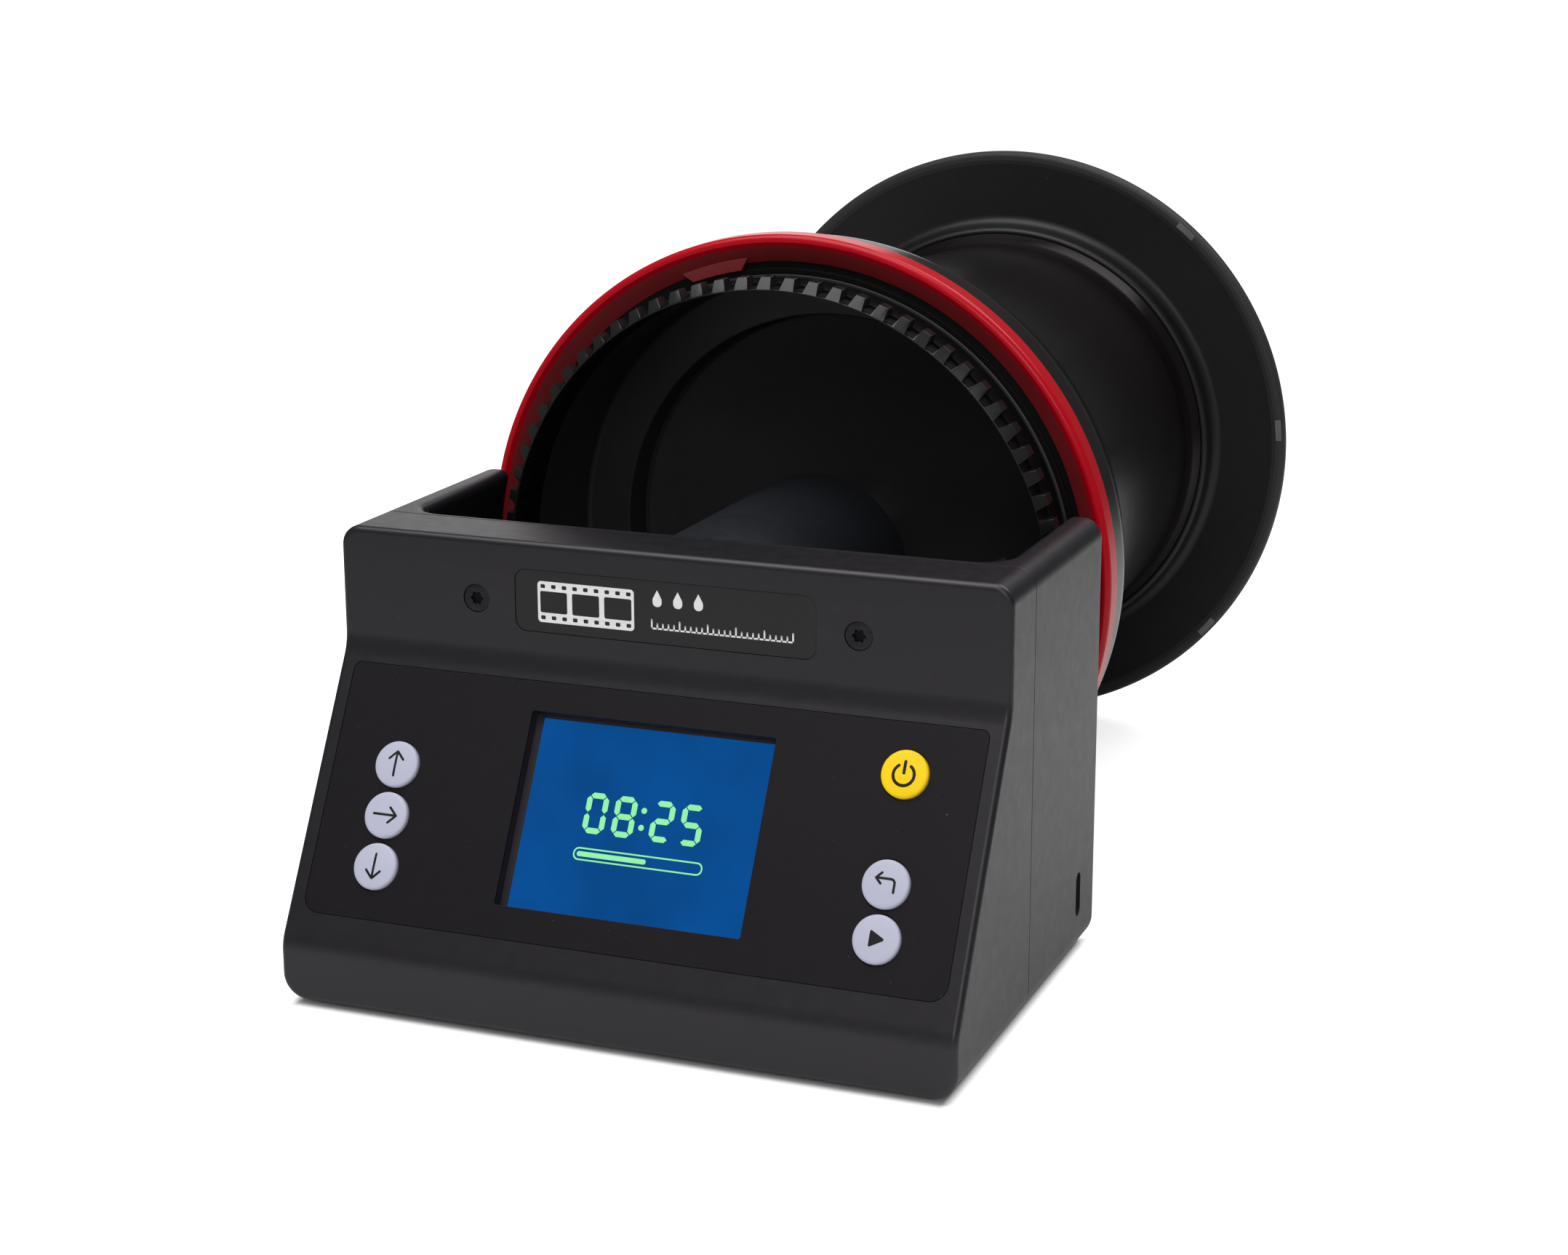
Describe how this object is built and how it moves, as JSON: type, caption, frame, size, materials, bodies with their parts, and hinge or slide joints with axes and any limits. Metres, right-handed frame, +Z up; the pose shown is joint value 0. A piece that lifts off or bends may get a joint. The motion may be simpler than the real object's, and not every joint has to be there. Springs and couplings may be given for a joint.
{
  "type": "film developing tank",
  "caption": "Motorised rotary film developing tank: a desktop control unit with screen and keys turns a horizontal black tank by its toothed mouth ring; the tank rolls on a rear disc.",
  "frame": {"origin": "on the table under the middle of the whole object", "axes": "+X to the right seen from the key panel, +Y to the rear along the tank axis, +Z up"},
  "size_m": [0.1492, 0.2584, 0.1491],
  "materials": {
    "housing": "fine satin texture",
    "overlay": "fine matt grain",
    "label": "smooth semi-gloss film",
    "grey_key": "fine grain, pale lavender grey",
    "power_key": "fine grain, yellow",
    "screen": "lit blue display behind clear film",
    "board": "solder mask",
    "steel": "machined",
    "black_steel": "black oxide",
    "bronze": "sintered",
    "red_plastic": "moulded gloss",
    "tank_gloss": "polished moulding",
    "tank_satin": "satin moulding",
    "rubber": "smooth",
    "nylon": "natural nylon",
    "cell_sleeve": "shrink sleeve"
  },
  "bodies": {
    "unit": {"front_shell": "housing", "rear_cradle": "housing", "base_cover": "housing", "label_plate": "label", "shell_screw_left": "black_steel", "shell_screw_right": "black_steel", "base_screw_front_left": "black_steel", "base_screw_front_right": "black_steel", "base_screw_rear_left": "black_steel", "base_screw_rear_right": "black_steel", "foot_front_left": "rubber", "foot_front_right": "rubber", "foot_rear_left": "rubber", "foot_rear_right": "rubber", "keypad_overlay": "overlay", "lcd_frame": "steel", "lcd_screen": "screen", "control_board": "board", "buzzer": "tank_satin", "battery_cell": "cell_sleeve", "battery_holder": "tank_satin", "usb_port": "steel", "usb_board": "board", "drive_motor": "steel", "motor_bracket": "steel", "drive_bush": "bronze", "idler_pin": "steel", "probe_snout": "housing", "temperature_probe": "steel"},
    "key_up": {"key_up": "grey_key"},
    "key_right": {"key_right": "grey_key"},
    "key_down": {"key_down": "grey_key"},
    "key_power": {"key_power": "power_key"},
    "key_back": {"key_back": "grey_key"},
    "key_start": {"key_start": "grey_key"},
    "tank": {"gear_ring": "tank_satin", "light_trap_funnel": "tank_satin", "tank_body": "tank_gloss", "centre_column": "tank_satin", "reel_1_fixed_half": "nylon", "reel_2_fixed_half": "nylon", "reel_clip": "red_plastic", "support_disc": "tank_satin", "disc_tyre": "rubber"},
    "lock_ring": {"lock_ring": "red_plastic"},
    "reel_1_turning_half": {"reel_1_turning_half": "nylon"},
    "reel_2_turning_half": {"reel_2_turning_half": "nylon"},
    "drive_gear": {"drive_pinion": "nylon", "drive_shaft": "steel"},
    "idler_gear": {"idler_pinion": "nylon"}
  },
  "joints": [
    {"name": "key_up_press", "type": "slide", "parent": "unit", "child": "key_up", "axis": [0, 0.8739, -0.486], "range_m": [0, 0.0005], "stiffness_N_per_m": 3000},
    {"name": "key_right_press", "type": "slide", "parent": "unit", "child": "key_right", "axis": [0, 0.8739, -0.486], "range_m": [0, 0.0005], "stiffness_N_per_m": 3000},
    {"name": "key_down_press", "type": "slide", "parent": "unit", "child": "key_down", "axis": [0, 0.8739, -0.486], "range_m": [0, 0.0005], "stiffness_N_per_m": 3000},
    {"name": "key_power_press", "type": "slide", "parent": "unit", "child": "key_power", "axis": [0, 0.8739, -0.486], "range_m": [0, 0.0005], "stiffness_N_per_m": 3000},
    {"name": "key_back_press", "type": "slide", "parent": "unit", "child": "key_back", "axis": [0, 0.8739, -0.486], "range_m": [0, 0.0005], "stiffness_N_per_m": 3000},
    {"name": "key_start_press", "type": "slide", "parent": "unit", "child": "key_start", "axis": [0, 0.8739, -0.486], "range_m": [0, 0.0005], "stiffness_N_per_m": 3000},
    {"name": "tank_spin", "type": "hinge", "parent": "unit", "child": "tank", "pos_m": [0, 0, 0.07457], "axis": [0, 1, 0], "continuous": true},
    {"name": "lock_ring_twist", "type": "hinge", "parent": "tank", "child": "lock_ring", "pos_m": [0, 0, 0.07457], "axis": [0, 1, 0], "range_deg": [0, 20]},
    {"name": "reel_1_ratchet", "type": "hinge", "parent": "tank", "child": "reel_1_turning_half", "pos_m": [0, 0, 0.07457], "axis": [0, 1, 0], "range_deg": [0, 70]},
    {"name": "reel_2_ratchet", "type": "hinge", "parent": "tank", "child": "reel_2_turning_half", "pos_m": [0, 0, 0.07457], "axis": [0, 1, 0], "range_deg": [0, 70]},
    {"name": "drive_spin", "type": "hinge", "parent": "unit", "child": "drive_gear", "pos_m": [0.054, 0, 0.02432], "axis": [0, 1, 0], "continuous": true},
    {"name": "idler_spin", "type": "hinge", "parent": "unit", "child": "idler_gear", "pos_m": [-0.054, 0, 0.02432], "axis": [0, 1, 0], "continuous": true}
  ],
  "couplings": [
    {"joint": "drive_spin", "follows": "tank_spin", "ratio": -6.25},
    {"joint": "idler_spin", "follows": "tank_spin", "ratio": -6.25}
  ]
}
